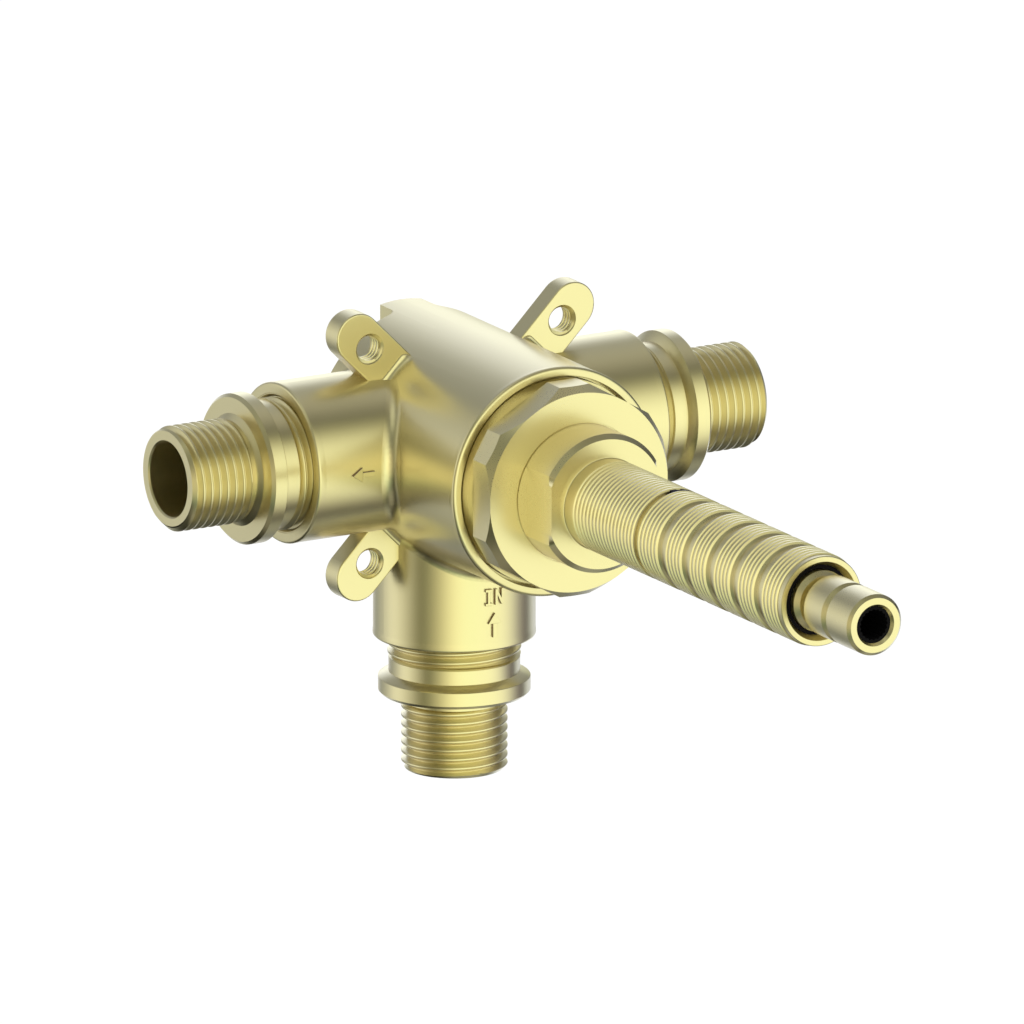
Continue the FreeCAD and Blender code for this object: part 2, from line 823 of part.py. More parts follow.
os.makedirs("parts", exist_ok=True)
for name, make in PIECES.items():
    shape = make()
    print(name, "solids", len(shape.Solids), "volume", round(shape.Volume, 2), "valid", shape.isValid())
    shape.exportStep("parts/" + name + ".step")
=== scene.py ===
import bmesh
import bpy
import math
import numpy as np
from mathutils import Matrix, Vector


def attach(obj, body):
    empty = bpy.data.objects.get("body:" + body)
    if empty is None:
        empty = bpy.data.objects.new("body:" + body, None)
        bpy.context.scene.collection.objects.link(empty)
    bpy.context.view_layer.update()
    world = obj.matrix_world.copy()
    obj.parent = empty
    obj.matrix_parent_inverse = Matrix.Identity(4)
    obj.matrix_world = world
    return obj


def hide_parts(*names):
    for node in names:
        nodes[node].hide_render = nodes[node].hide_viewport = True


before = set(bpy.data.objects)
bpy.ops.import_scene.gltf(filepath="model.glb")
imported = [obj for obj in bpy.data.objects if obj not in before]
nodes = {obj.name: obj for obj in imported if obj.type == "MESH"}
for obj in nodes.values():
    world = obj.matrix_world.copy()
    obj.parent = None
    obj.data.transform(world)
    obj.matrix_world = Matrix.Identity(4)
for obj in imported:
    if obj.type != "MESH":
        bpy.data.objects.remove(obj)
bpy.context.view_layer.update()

# Body casting: one brass casting with barrel, three bosses, four lugs and the rib behind.
# It is sand cast, blasted to a fine even satin, then faced and bored at its openings.
MM = 0.001
BRASS = (0.97, 0.918, 0.432)
CAST_ROUGHNESS = 0.30
ROUGHNESS_CHANGE = 0.03
BROAD_PATCHES = 55.0
GRAIN_HEIGHT = 0.02 * MM
# a piece that shows in another one is rougher and less yellow there, so that hollows look calm
SECOND_ROUGHNESS = 0.08
SECOND_TINT = (0.84, 0.80, 1.15, 1)


def add_socket(group, name, kind, way, value=None):
    """A named input or output of a node group, with its usual value."""
    socket = group.interface.new_socket(name=name, in_out=way, socket_type=kind)
    if value is not None:
        socket.default_value = value


def new_node(tree, kind, links=(), **settings):
    """A node of a tree; links are (its input, the socket that feeds it or the value it holds)."""
    node = tree.nodes.new(kind)
    for name, value in settings.items():
        setattr(node, name, value)
    for key, value in links:
        if isinstance(value, bpy.types.NodeSocket):
            tree.links.new(value, node.inputs[key])
        else:
            node.inputs[key].default_value = value
    return node


def satin_grain_group():
    """Blasted grain: a fine noise is the height, and with a broad one it changes the shade.

    Sum = fine noise + broad noise - 1. The colour is multiplied by 1 + sum * color change, and
    the roughness grows by sum * roughness change.
    """
    group = bpy.data.node_groups.new("satin_grain", "ShaderNodeTree")
    add_socket(group, "Color", "NodeSocketColor", "INPUT", (0.8, 0.8, 0.8, 1))
    add_socket(group, "Roughness", "NodeSocketFloat", "INPUT", 0.3)
    add_socket(group, "Grains per metre", "NodeSocketFloat", "INPUT", 3500.0)
    add_socket(group, "Color change", "NodeSocketFloat", "INPUT", 0.03)
    add_socket(group, "Roughness change", "NodeSocketFloat", "INPUT", 0.04)
    add_socket(group, "Color", "NodeSocketColor", "OUTPUT")
    add_socket(group, "Roughness", "NodeSocketFloat", "OUTPUT")
    add_socket(group, "Height", "NodeSocketFloat", "OUTPUT")
    inputs = new_node(group, "NodeGroupInput")
    place = new_node(group, "ShaderNodeTexCoord").outputs["Object"]
    fine = new_node(group, "ShaderNodeTexNoise", [
        ("Vector", place), ("Scale", inputs.outputs["Grains per metre"]), ("Detail", 2.0)])
    broad = new_node(group, "ShaderNodeTexNoise", [
        ("Vector", place), ("Scale", BROAD_PATCHES), ("Detail", 3.0)])
    both = new_node(group, "ShaderNodeMath", [
        (0, fine.outputs["Fac"]), (1, broad.outputs["Fac"])], operation="ADD")
    centred = new_node(group, "ShaderNodeMath", [
        (0, both.outputs[0]), (1, 1.0)], operation="SUBTRACT")
    shade = new_node(group, "ShaderNodeMath", [
        (0, centred.outputs[0]), (1, inputs.outputs["Color change"]), (2, 1.0)],
        operation="MULTIPLY_ADD")
    tint = new_node(group, "ShaderNodeVectorMath", [
        (0, inputs.outputs["Color"]), ("Scale", shade.outputs[0])], operation="SCALE")
    rough = new_node(group, "ShaderNodeMath", [
        (0, centred.outputs[0]), (1, inputs.outputs["Roughness change"]),
        (2, inputs.outputs["Roughness"])], operation="MULTIPLY_ADD")
    new_node(group, "NodeGroupOutput", [
        ("Color", tint.outputs[0]), ("Roughness", rough.outputs[0]),
        ("Height", fine.outputs["Fac"])])
    return group


def tool_marks_group():
    """Lathe marks: a noise along one line, read at a point's distance along the turning axis plus
    its distance from it, so that faces and walls both carry rings."""
    group = bpy.data.node_groups.new("tool_marks", "ShaderNodeTree")
    add_socket(group, "Axis", "NodeSocketVector", "INPUT", (0, 0, 1))
    add_socket(group, "Marks per metre", "NodeSocketFloat", "INPUT", 2500.0)
    add_socket(group, "Height", "NodeSocketFloat", "OUTPUT")
    inputs = new_node(group, "NodeGroupInput")
    place = new_node(group, "ShaderNodeTexCoord").outputs["Object"]
    along = new_node(group, "ShaderNodeVectorMath", [
        (0, place), (1, inputs.outputs["Axis"])], operation="DOT_PRODUCT").outputs["Value"]
    across = new_node(group, "ShaderNodeVectorMath", [
        (0, place), (1, inputs.outputs["Axis"])], operation="CROSS_PRODUCT")
    distance = new_node(group, "ShaderNodeVectorMath", [(0, across.outputs[0])], operation="LENGTH")
    travel = new_node(group, "ShaderNodeMath", [
        (0, along), (1, distance.outputs["Value"])], operation="ADD")
    marks = new_node(group, "ShaderNodeTexNoise", [
        ("W", travel.outputs[0]), ("Scale", inputs.outputs["Marks per metre"]), ("Detail", 1.0)],
        noise_dimensions="1D")
    new_node(group, "NodeGroupOutput", [("Height", marks.outputs["Fac"])])
    return group


satin_grain = satin_grain_group()
tool_marks = tool_marks_group()


def finish(name, color, roughness, metallic=1.0, axis=None, grains=5000.0, color_change=0.02,
           relief=0.05, specular=0.5):
    """Material of one piece: satin grain, with lathe marks about the axis where it is turned."""
    material = bpy.data.materials.new(name)
    material.use_nodes = True
    tree = material.node_tree
    shader = tree.nodes["Principled BSDF"]
    shader.inputs["Metallic"].default_value = metallic
    shader.inputs["Specular IOR Level"].default_value = specular
    grain = new_node(tree, "ShaderNodeGroup", node_tree=satin_grain)
    for key, value in (("Color", (*color, 1)), ("Roughness", roughness),
                       ("Grains per metre", grains), ("Color change", color_change),
                       ("Roughness change", ROUGHNESS_CHANGE)):
        grain.inputs[key].default_value = value
    second = new_node(tree, "ShaderNodeLightPath").outputs["Is Glossy Ray"]
    tinted = new_node(tree, "ShaderNodeMix", [
        (0, second), (6, grain.outputs["Color"]), (7, SECOND_TINT)],
        data_type="RGBA", blend_type="MULTIPLY")
    tree.links.new(tinted.outputs[2], shader.inputs["Base Color"])
    dulled = new_node(tree, "ShaderNodeMath", [
        (0, second), (1, SECOND_ROUGHNESS), (2, grain.outputs["Roughness"])],
        operation="MULTIPLY_ADD")
    tree.links.new(dulled.outputs[0], shader.inputs["Roughness"])
    height = grain.outputs["Height"]
    if axis is not None:
        marks = new_node(tree, "ShaderNodeGroup", node_tree=tool_marks)
        marks.inputs["Axis"].default_value = axis
        height = new_node(tree, "ShaderNodeMath", [
            (0, height), (1, marks.outputs["Height"])], operation="ADD").outputs[0]
    bump = new_node(tree, "ShaderNodeBump", [
        ("Height", height), ("Strength", relief), ("Distance", GRAIN_HEIGHT)])
    tree.links.new(bump.outputs["Normal"], shader.inputs["Normal"])
    return material


def dress(node, material):
    """Gives a carried-over solid its material."""
    for place in nodes[node].material_slots:
        place.material = material


cast_brass = finish("cast_brass_satin", BRASS, CAST_ROUGHNESS)
dress("valve_body", cast_brass)

# Lug threads: the M6 holes of the four lugs are tapped right through.
# Each is a right-hand thread in the lug's own metal, with its root at the hole's wall.
FULL_TURN = 2 * math.pi
LUG_HOLE_PITCH = 43.6
LUG_FRONT, LUG_BACK = 4.6, -0.25
LUG_MOUTH = 0.15
TAP_ROOT, TAP_CREST, TAP_SKIN = 3.0, 2.5, 3.1
TAP_PITCH = 1.0
# depth of the thread at shares of its pitch: crest, flank, root, flank, crest
TAP_SHAPE = ((0.0, 1.0), (0.2, 1.0), (0.42, 0.0), (0.58, 0.0), (0.8, 1.0))
TAP_COLUMNS = 64
WELD_DISTANCE = 0.0002 * MM


def turn_angles(count, extra=()):
    """Angles of one full turn, both ends included, with any extra ones put in their places."""
    even = np.linspace(0, FULL_TURN, count + 1)
    return np.unique(np.concatenate([even, np.radians(extra)]))


def plain_rows(angles, pairs):
    """Rows of a turned skin, each with one radius and one station all round."""
    return [(np.broadcast_to(radius, angles.shape), np.broadcast_to(float(station), angles.shape))
            for radius, station in pairs]


def thread_rows(angles, start, end, pitch, low, high, shape, origin=0.0, limit=None):
    """Rows that climb a right-hand helix from start to end.

    Station = origin + pitch * (turn + share + angle / full turn), held between start and end.
    Radius = low + (high - low) * depth, where depth is read from the shape at that station's share
    of the pitch; limit, a function of station, holds the radius back at the ends of the thread.
    """
    shares, depths = np.array(shape + ((1.0, shape[0][1]),)).T
    first = math.floor((start - origin) / pitch) - 1
    last = math.ceil((end - origin) / pitch)
    rows = []
    for turn in range(first, last + 1):
        for share in shares[:-1]:
            climb = turn + share + angles / FULL_TURN
            station = np.clip(origin + pitch * climb, start, end)
            part = ((station - origin) / pitch - angles / FULL_TURN) % 1.0
            radius = low + (high - low) * np.interp(part, shares, depths)
            if limit is not None:
                radius = limit(station, radius)
            rows.append((radius, station))
    return rows


def grid_quads(high, wide):
    """Quads between neighbours on a grid of points that are numbered row by row."""
    index = np.arange(high * wide).reshape(high, wide)
    corners = [index[:-1, :-1], index[:-1, 1:], index[1:, 1:], index[1:, :-1]]
    return np.stack(corners, axis=-1).reshape(-1, 4)


def turned_skin(angles, rows, place):
    """Points and quads of a closed turned skin; place puts (x, y, station) in the valve's frame.

    Point = place(radius * cos, radius * sin, station); the last row joins the first.
    """
    radius = np.array([row[0] for row in rows] + [rows[0][0]])
    station = np.array([row[1] for row in rows] + [rows[0][1]])
    points = np.stack(place(radius * np.cos(angles), radius * np.sin(angles), station), axis=-1)
    return (points * MM).reshape(-1, 3), grid_quads(*radius.shape)


def weld_points(mesh):
    """Joins points that meet and drops the faces that this closes up."""
    shape = bmesh.new()
    shape.from_mesh(mesh)
    bmesh.ops.remove_doubles(shape, verts=shape.verts, dist=WELD_DISTANCE)
    bmesh.ops.dissolve_degenerate(shape, edges=shape.edges, dist=WELD_DISTANCE)
    shape.to_mesh(mesh)
    shape.free()
    mesh.validate()


def make_piece(name, skins, material, body, smooth_to=35.0):
    """One mesh piece from its skins, with outward faces and sharp edges past smooth_to degrees.

    A skin whose signed volume, the sum of corner products over its faces, is negative is turned
    inside out.
    """
    points, quads, count = [], [], 0
    for skin_points, skin_quads in skins:
        a, b, c, d = (skin_points[skin_quads[:, i]] for i in range(4))
        volume = (a * (np.cross(b, c) + np.cross(c, d))).sum()
        points.append(skin_points)
        quads.append((skin_quads if volume > 0 else skin_quads[:, ::-1]) + count)
        count += len(skin_points)
    mesh = bpy.data.meshes.new(name)
    mesh.from_pydata(np.concatenate(points), [], np.concatenate(quads))
    piece = bpy.data.objects.new(name, mesh)
    bpy.context.scene.collection.objects.link(piece)
    weld_points(mesh)
    mesh.materials.append(material)
    mesh.shade_smooth()
    mesh.set_sharp_from_angle(angle=math.radians(smooth_to))
    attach(piece, body)
    return piece


def lug_thread_skin(x, z):
    """Skin of one tapped thread about the lug hole at x, z."""
    angles = turn_angles(TAP_COLUMNS)
    back, front = LUG_BACK + LUG_MOUTH, LUG_FRONT - LUG_MOUTH

    def run_out(station, radius):
        return np.maximum(radius, TAP_ROOT - np.minimum(station - back, front - station))

    rows = plain_rows(angles, [(TAP_SKIN, back)])
    rows += thread_rows(angles, back, front, TAP_PITCH, TAP_ROOT, TAP_CREST, TAP_SHAPE,
                        limit=run_out)
    rows += plain_rows(angles, [(TAP_SKIN, front)])
    return turned_skin(angles, rows, lambda a, b, station: (x + a, -station, z + b))


half_pitch = LUG_HOLE_PITCH / 2
make_piece("lug_threads", [lug_thread_skin(x, z) for x in (-half_pitch, half_pitch)
                           for z in (-half_pitch, half_pitch)],
           cast_brass, "valve")

# Machined rims: the barrel's mouth and the ends of the three bosses, faced with a round outer
# edge. Each ring lies a hair proud of the casting, in its own brass, and thins out along its side.
BARREL_RADIUS, BARREL_BORE, BARREL_END = 23.1, 21.4, 39.7
BOSS_RADIUS, BOSS_BORE, BOSS_END = 16.0, 13.85, 39.8
BARREL_ROUND, BOSS_ROUND = 0.75, 0.55
# the mouth's face rises a little toward the bore
BARREL_LIFT, BOSS_LIFT = 0.06, 0.0
RIM_PROUD = 0.08
RIM_TAIL, RIM_SUNK = 2.2, 0.05
# the broken inner edge: its radii outside and inside the bore, and its depth
EDGE_OUTSIDE, EDGE_INSIDE, EDGE_DEPTH = 0.1, 0.03, 0.13
RIM_REACH_IN = 0.6
RIM_COLUMNS = 192
QUARTER_BEND = np.linspace(0, math.pi / 2, 9)
# how a port's (x, y, station) lies in the valve
PORT_PLACES = {
    "inlet": lambda a, b, station: (b, a, -station),
    "left_outlet": lambda a, b, station: (-station, b, a),
    "right_outlet": lambda a, b, station: (station, a, b),
}


def in_barrel(a, b, station):
    """Lays (x, y, station) about the barrel's axis, with stations counted to the front."""
    return a, -station, b


def rim_skin(outer, bore, end, edge_round, lift, place):
    """Skin of one rim: along the casting's side, round the edge, over the face and back inside."""
    angles = turn_angles(RIM_COLUMNS)
    side, face = outer + RIM_PROUD, end + RIM_PROUD
    outline = [(outer - RIM_SUNK, end - RIM_TAIL)]
    outline += [(side - edge_round * (1 - math.cos(a)), face - edge_round * (1 - math.sin(a)))
                for a in QUARTER_BEND]
    outline += [(bore + EDGE_OUTSIDE, face + lift), (bore - EDGE_INSIDE, face + lift - EDGE_DEPTH),
                (bore - EDGE_INSIDE, end - RIM_REACH_IN), (bore + EDGE_OUTSIDE, end - RIM_REACH_IN)]
    return turned_skin(angles, plain_rows(angles, outline), place)


rims = [rim_skin(BARREL_RADIUS, BARREL_BORE, BARREL_END, BARREL_ROUND, BARREL_LIFT, in_barrel)]
rims += [rim_skin(BOSS_RADIUS, BOSS_BORE, BOSS_END, BOSS_ROUND, BOSS_LIFT, place)
         for place in PORT_PLACES.values()]
make_piece("machined_rims", rims, cast_brass, "valve")

# Lug toes: each lug's front face is a milled pocket that ends at the barrel in a straight low
# step. Beyond the step a cast fillet climbs to the barrel, in the casting's own brass.
TOE_REACH, TOE_FOOT = 24.3, 22.6
TOE_HALF_LENGTH, TOE_CORNER = 4.5, 1.1
TOE_HEIGHT, TOE_BREAK, TOE_FILLET = 0.35, 0.15, 1.9
TOE_BOTTOM = -0.2
# how deep the fillet's end lies in the barrel, its least width, and the skin's depth behind it
TOE_SUNK, TOE_LEAST, TOE_BEHIND = 0.03, 0.3, 0.5
TOE_SECTIONS = 25


def lug_toe_skin(x_side, z_side):
    """Skin of one toe: sections across the lug, each from the step over the fillet to the barrel.

    Point = reach along the lug's diagonal + place along the bar, a quarter turn from it. The
    fillet is a quarter of an ellipse from the step's top to the barrel's side at that place.
    """
    along = np.linspace(-TOE_HALF_LENGTH, TOE_HALF_LENGTH, TOE_SECTIONS)[:, None]
    near_end = TOE_HALF_LENGTH - np.abs(along)
    step = TOE_REACH - TOE_CORNER * np.clip(1 - near_end / TOE_CORNER, 0, 1) ** 2
    barrel = np.sqrt((BARREL_RADIUS - TOE_SUNK) ** 2 - along ** 2)
    skin = np.minimum(barrel, step - TOE_LEAST)
    top = step - TOE_BREAK
    reach = np.concatenate([step, step, top - (top - skin) * np.sin(QUARTER_BEND),
                            skin - TOE_BEHIND, skin - TOE_BEHIND, step], axis=1)
    climb = TOE_HEIGHT + TOE_FILLET * (1 - np.cos(QUARTER_BEND))
    height = np.concatenate([[TOE_BOTTOM, TOE_HEIGHT - TOE_BREAK], climb,
                             [TOE_HEIGHT + TOE_FILLET, TOE_BOTTOM, TOE_BOTTOM]])
    height = np.broadcast_to(height, reach.shape)
    ends = [0, *range(len(along)), len(along) - 1]
    reach, height, along = reach[ends].copy(), height[ends].copy(), along[ends]
    reach[[0, -1]] = TOE_FOOT
    height[[0, -1]] = TOE_BOTTOM
    diagonal = math.sqrt(0.5)
    points = np.stack([diagonal * (x_side * reach - z_side * along), -LUG_FRONT - height,
                       diagonal * (z_side * reach + x_side * along)], axis=-1)
    return (points * MM).reshape(-1, 3), grid_quads(*reach.shape)


make_piece("lug_toes", [lug_toe_skin(x, z) for x in (-1, 1) for z in (-1, 1)],
           cast_brass, "valve", smooth_to=50.0)

# Cast marks: flow arrows on the inlet boss and the left boss, and IN above the inlet's arrow.
# They stand a little proud of the bosses, in the casting's own brass, with broken top edges;
# their walls get a painted shade, a darker brass that stands in for the shade on them.
MARK_HEIGHT, MARK_FOOT, MARK_BREAK = 0.5, -0.3, 0.05
# painted shade: the darker brass of the marks' walls
MARK_WALL_SHADE_BRASS = (0.36, 0.27, 0.15)
MARK_WALL_ROUGHNESS = 0.45
# a face is a wall where less than this share of its direction points out of the boss
MARK_WALL_LEAN = 0.5
# marks below this height are on the inlet boss, the others on the left boss
MARKS_PART_AT = -22.0
ARROW_HALF_SHAFT, ARROW_HALF_HEAD, ARROW_HALF_TIP = 0.47, 1.46, 0.03
ARROW_SHAFT, ARROW_HEAD = 2.8, 2.1
STROKE_HALF = 0.27
INLET_ARROW_TAIL = (-0.2, -36.95)
LEFT_ARROW_TAIL = (0.0, -27.4)
# letter strokes on the inlet boss: (across, along) at both ends
LETTER_STROKES = (
    ((-1.5, -30.4), (-1.5, -27.2)),
    ((-2.2, -27.4), (-0.8, -27.4)),
    ((-2.2, -30.2), (-0.8, -30.2)),
    ((0.1, -30.4), (0.1, -27.2)),
    ((1.5, -30.4), (1.5, -27.2)),
    ((0.1, -27.3), (1.5, -30.3)),
)


def raised_skin(start, direction, stations, half_widths, wrap):
    """Skin of a raised bar on a boss.

    At each station along the direction, the section is the loop foot, side, broken edge, top,
    broken edge, side, foot across the half width; wrap lays (across, along, height) on the boss.
    """
    stations = np.array(stations)[:, None]
    half = np.array(half_widths)[:, None]
    cut = np.minimum(MARK_BREAK, half)
    zero = np.zeros_like(half)
    across = np.concatenate([-half, -half, cut - half, half - cut, half, half, -half], axis=1)
    top, side, foot = zero + MARK_HEIGHT, zero + MARK_HEIGHT - MARK_BREAK, zero + MARK_FOOT
    height = np.concatenate([foot, side, top, top, side, foot, foot], axis=1)
    ends = [0, *range(len(stations)), len(stations) - 1]
    across, height, stations = across[ends], height[ends], stations[ends]
    across[[0, -1]] = 0
    height[[0, -1]] = MARK_FOOT
    dx, dy = direction
    points = np.stack(wrap(start[0] + dx * stations + dy * across,
                           start[1] + dy * stations - dx * across, height), axis=-1)
    return (points * MM).reshape(-1, 3), grid_quads(*across.shape)


def on_inlet_boss(across, along, height):
    """Lays a flat mark on the front of the inlet boss: across follows the round of the boss."""
    radius = BOSS_RADIUS + height
    return radius * np.sin(across / BOSS_RADIUS), -radius * np.cos(across / BOSS_RADIUS), along


def on_left_boss(across, along, height):
    """Lays a flat mark on the front of the left boss: across follows the round of the boss."""
    radius = BOSS_RADIUS + height
    return along, -radius * np.cos(across / BOSS_RADIUS), radius * np.sin(across / BOSS_RADIUS)


def arrow_skin(tail, direction, wrap):
    """Solid arrow: a straight shaft, then a head that narrows to its tip."""
    stations = (0, ARROW_SHAFT, ARROW_SHAFT, ARROW_SHAFT + ARROW_HEAD)
    halves = (ARROW_HALF_SHAFT, ARROW_HALF_SHAFT, ARROW_HALF_HEAD, ARROW_HALF_TIP)
    return raised_skin(tail, direction, stations, halves, wrap)


def stroke_skin(start, end):
    """Straight stroke of a letter on the inlet boss."""
    run = np.subtract(end, start)
    length = float(np.hypot(*run))
    halves = (STROKE_HALF, STROKE_HALF)
    return raised_skin(start, run / length, (0, length), halves, on_inlet_boss)


marks = [arrow_skin(INLET_ARROW_TAIL, (0, 1), on_inlet_boss),
         arrow_skin(LEFT_ARROW_TAIL, (0, -1), on_left_boss)]
marks += [stroke_skin(start, end) for start, end in LETTER_STROKES]
cast_marks = make_piece("cast_marks", marks, cast_brass, "valve")
# the walls take a second material, a darker brass that is painted shade
cast_marks.data.materials.append(
    finish("mark_wall_painted_shade", MARK_WALL_SHADE_BRASS, MARK_WALL_ROUGHNESS, color_change=0.1))
middles, normals = np.empty((2, len(cast_marks.data.polygons), 3))
cast_marks.data.polygons.foreach_get("center", middles.ravel())
cast_marks.data.polygons.foreach_get("normal", normals.ravel())
on_inlet = middles[:, 2] < MARKS_PART_AT * MM
outward = np.where(on_inlet[:, None], middles * (1, 1, 0), middles * (0, 1, 1))
outward /= np.linalg.norm(outward, axis=1)[:, None]
walls = (outward * normals).sum(axis=1) < MARK_WALL_LEAN
cast_marks.data.polygons.foreach_set("material_index", walls.astype(np.int32))

# Nipples: three turned brass nipples, screwed into the bosses by their larger thread.
# Each has a round flange and a half inch pipe thread outside; one profile serves all three.
NIPPLE_ROUGHNESS = 0.29
PIPE_PITCH = 1.814
# depth of the pipe thread at shares of its pitch: round crest, flank, round root, flank, crest
PIPE_SHAPE = (
    (0.0, 1.0), (0.085, 1.0), (0.1, 0.985), (0.12, 0.94), (0.135, 0.9), (0.155, 0.846),
    (0.42, 0.134), (0.44, 0.08), (0.455, 0.04), (0.475, 0.01), (0.5, 0.0),
    (0.525, 0.01), (0.545, 0.04), (0.56, 0.08), (0.58, 0.134),
    (0.845, 0.846), (0.865, 0.9), (0.88, 0.94), (0.9, 0.985), (0.915, 1.0),
)
PIPE_COLUMNS = 144
PORT_BORE, BORE_BREAK = 7.5, 0.3
INNER_CREST, INNER_ROOT, INNER_CHAMFER = 13.22, 12.06, 0.85
# the inner thread is cut only where it shows, from just inside the boss, and a hair lower there
INNER_PLAIN_TO, INNER_CUT_FROM, INNER_CUT_LOWER = BOSS_END - 0.5, BOSS_END - 0.2, 0.04
OUTER_CREST, OUTER_ROOT = 10.478, 9.316
# places along a nipple, counted outward from its flange's back edge
INNER_END, INNER_CUT_TO, RELIEF_END, OUTER_END = -17.5, -4.4, 5.0, 18.65
# radius and place of the outline from the inner thread over neck, flange and cone to the relief
FLANGE_PROFILE = (
    (12.06, -4.4), (12.06, -4.35), (12.83, -4.05), (12.95, -3.93), (12.95, -1.1),
    (13.07, -1.02), (14.9, -0.06), (15.0, 0.06), (15.0, 2.7), (14.35, 3.35),
    (11.2, 3.35), (10.0, 4.25), (10.0, 5.0),
)
# the outer thread runs out on the relief, and begins at the end's chamfer
RELIEF_RADIUS, RUN_OUT_SLOPE = 10.0, 1.2
CHAMFER_RADIUS, CHAMFER_SLOPE, CHAMFER_EDGE = 9.7, 0.9, 0.1
# where each nipple's flange begins, its outer thread's phase and its turning axis
NIPPLES = {
    "inlet": (48.3, 0.3, (0, 0, 1)),
    "left_outlet": (46.35, -0.42, (1, 0, 0)),
    "right_outlet": (46.7, 0.74, (1, 0, 0)),
}


def nipple_skin(flange, phase, place):
    """Skin of a nipple, from its inner end over the outside to its outer end and by the bore."""
    angles = turn_angles(PIPE_COLUMNS)
    inner, cut_to = flange + INNER_END, flange + INNER_CUT_TO
    relief, outer = flange + RELIEF_END, flange + OUTER_END

    def outer_limit(station, radius):
        lead_in = CHAMFER_RADIUS + (outer - station) * CHAMFER_SLOPE
        run_out = RELIEF_RADIUS + (station - relief) * RUN_OUT_SLOPE
        return np.minimum(radius, np.minimum(lead_in, run_out))

    rows = plain_rows(angles, [
        (PORT_BORE, inner), (INNER_CREST - INNER_CHAMFER, inner),
        (INNER_CREST, inner + INNER_CHAMFER), (INNER_CREST, INNER_PLAIN_TO),
        (INNER_ROOT, INNER_CUT_FROM)])
    rows += thread_rows(angles, INNER_CUT_FROM, cut_to, PIPE_PITCH,
                        INNER_ROOT, INNER_CREST - INNER_CUT_LOWER, PIPE_SHAPE)
    rows += plain_rows(angles, [(radius, flange + ahead) for radius, ahead in FLANGE_PROFILE])
    rows += thread_rows(angles, relief, outer, PIPE_PITCH, OUTER_ROOT, OUTER_CREST, PIPE_SHAPE,
                        origin=phase, limit=outer_limit)
    rows += plain_rows(angles, [
        (CHAMFER_RADIUS - CHAMFER_EDGE, outer), (PORT_BORE + BORE_BREAK, outer),
        (PORT_BORE, outer - BORE_BREAK)])
    return turned_skin(angles, rows, place)


for port, (flange, phase, axis) in NIPPLES.items():
    node = port + "_nipple"
    nipple = make_piece(node + "_threaded", [nipple_skin(flange, phase, PORT_PLACES[port])],
                        finish(node + "_satin", BRASS, NIPPLE_ROUGHNESS, axis=axis),
                        "valve")
    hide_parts(node)

# Clamp nut: turned from hexagon bar, screwed into the barrel's mouth over the sleeve's flange.
# It is brass, with the same fine lathe satin as the sleeve and the spindle.
TURNED_ROUGHNESS = 0.28
BARREL_AXIS = (0, 1, 0)
dress("clamp_nut", finish("nut_brass_satin", BRASS, TURNED_ROUGHNESS, axis=BARREL_AXIS))

# Threaded sleeve: turned brass tube that carries the wall plate's collar.
# It has two wrench flats, a fine thread, one narrow and five wide break-off grooves and a lip.
SLEEVE_CREST, SLEEVE_ROOT, SLEEVE_FLANK = 9.4, 9.1, 0.173
SLEEVE_PITCH, CREST_WIDTH, FIRST_CREST_FRONT, RINGS = 1.349, 0.5, 62.82, 60
SLEEVE_COLUMNS = 160
SLEEVE_BACK, SLEEVE_FLANGE_FRONT, SLEEVE_FLANGE = 28.4, 31.4, 18.9
NOSE_ROOM = 9.05
BASE, BASE_FLAT, BASE_FACE = 14.05, 12.15, 13.1
FLAT_BACK, BASE_FRONT, NECK_BACK = 49.35, 58.3, 59.25
# a low collar under the nut, which keeps the gap beside the nut's face shallow
COLLAR, COLLAR_BACK, COLLAR_FRONT = 14.27, 48.0, 48.75
SLEEVE_NECK, NECK_ROUND = 9.3, 0.2
THREAD_START, THREAD_END = 62.15, 143.4
NARROW_BACK, NARROW_FRONT = 86.35, 88.25
WIDE_FRONTS = (98.7, 108.1, 117.5, 126.9, 136.3)
# a wide groove begins at the last ring's crest, 3.1 mm or more behind its front edge; that
# ring's front flank runs on down to its foot, and a slope of 45 degrees on to the floor
WIDE_REACH, FLANK_FOOT, GROOVE_FLOOR = 3.1, 8.97, 8.52
WALL_LEAN = 0.05
LIP, LIP_FRONT, LIP_MOUTH, LIP_BREAK = 9.1, 144.3, 8.0, 0.15
SLEEVE_BORE, LINER_FRONT, SLEEVE_STEP = 7.05, 142.8, 53.6
SLEEVE_SMOOTH_TO = 14.0
crest_fronts = FIRST_CREST_FRONT + SLEEVE_PITCH * np.arange(RINGS)


def thread_outline():
    """Stations and radii of the fine thread as equal rings: foot, crest's back and front, foot."""
    foot = CREST_WIDTH + SLEEVE_FLANK
    stations = crest_fronts[:, None] + (-foot, -CREST_WIDTH, 0.0, SLEEVE_FLANK)
    radii = np.broadcast_to((SLEEVE_ROOT, SLEEVE_CREST, SLEEVE_CREST, SLEEVE_ROOT), stations.shape)
    return stations.ravel(), radii.ravel()


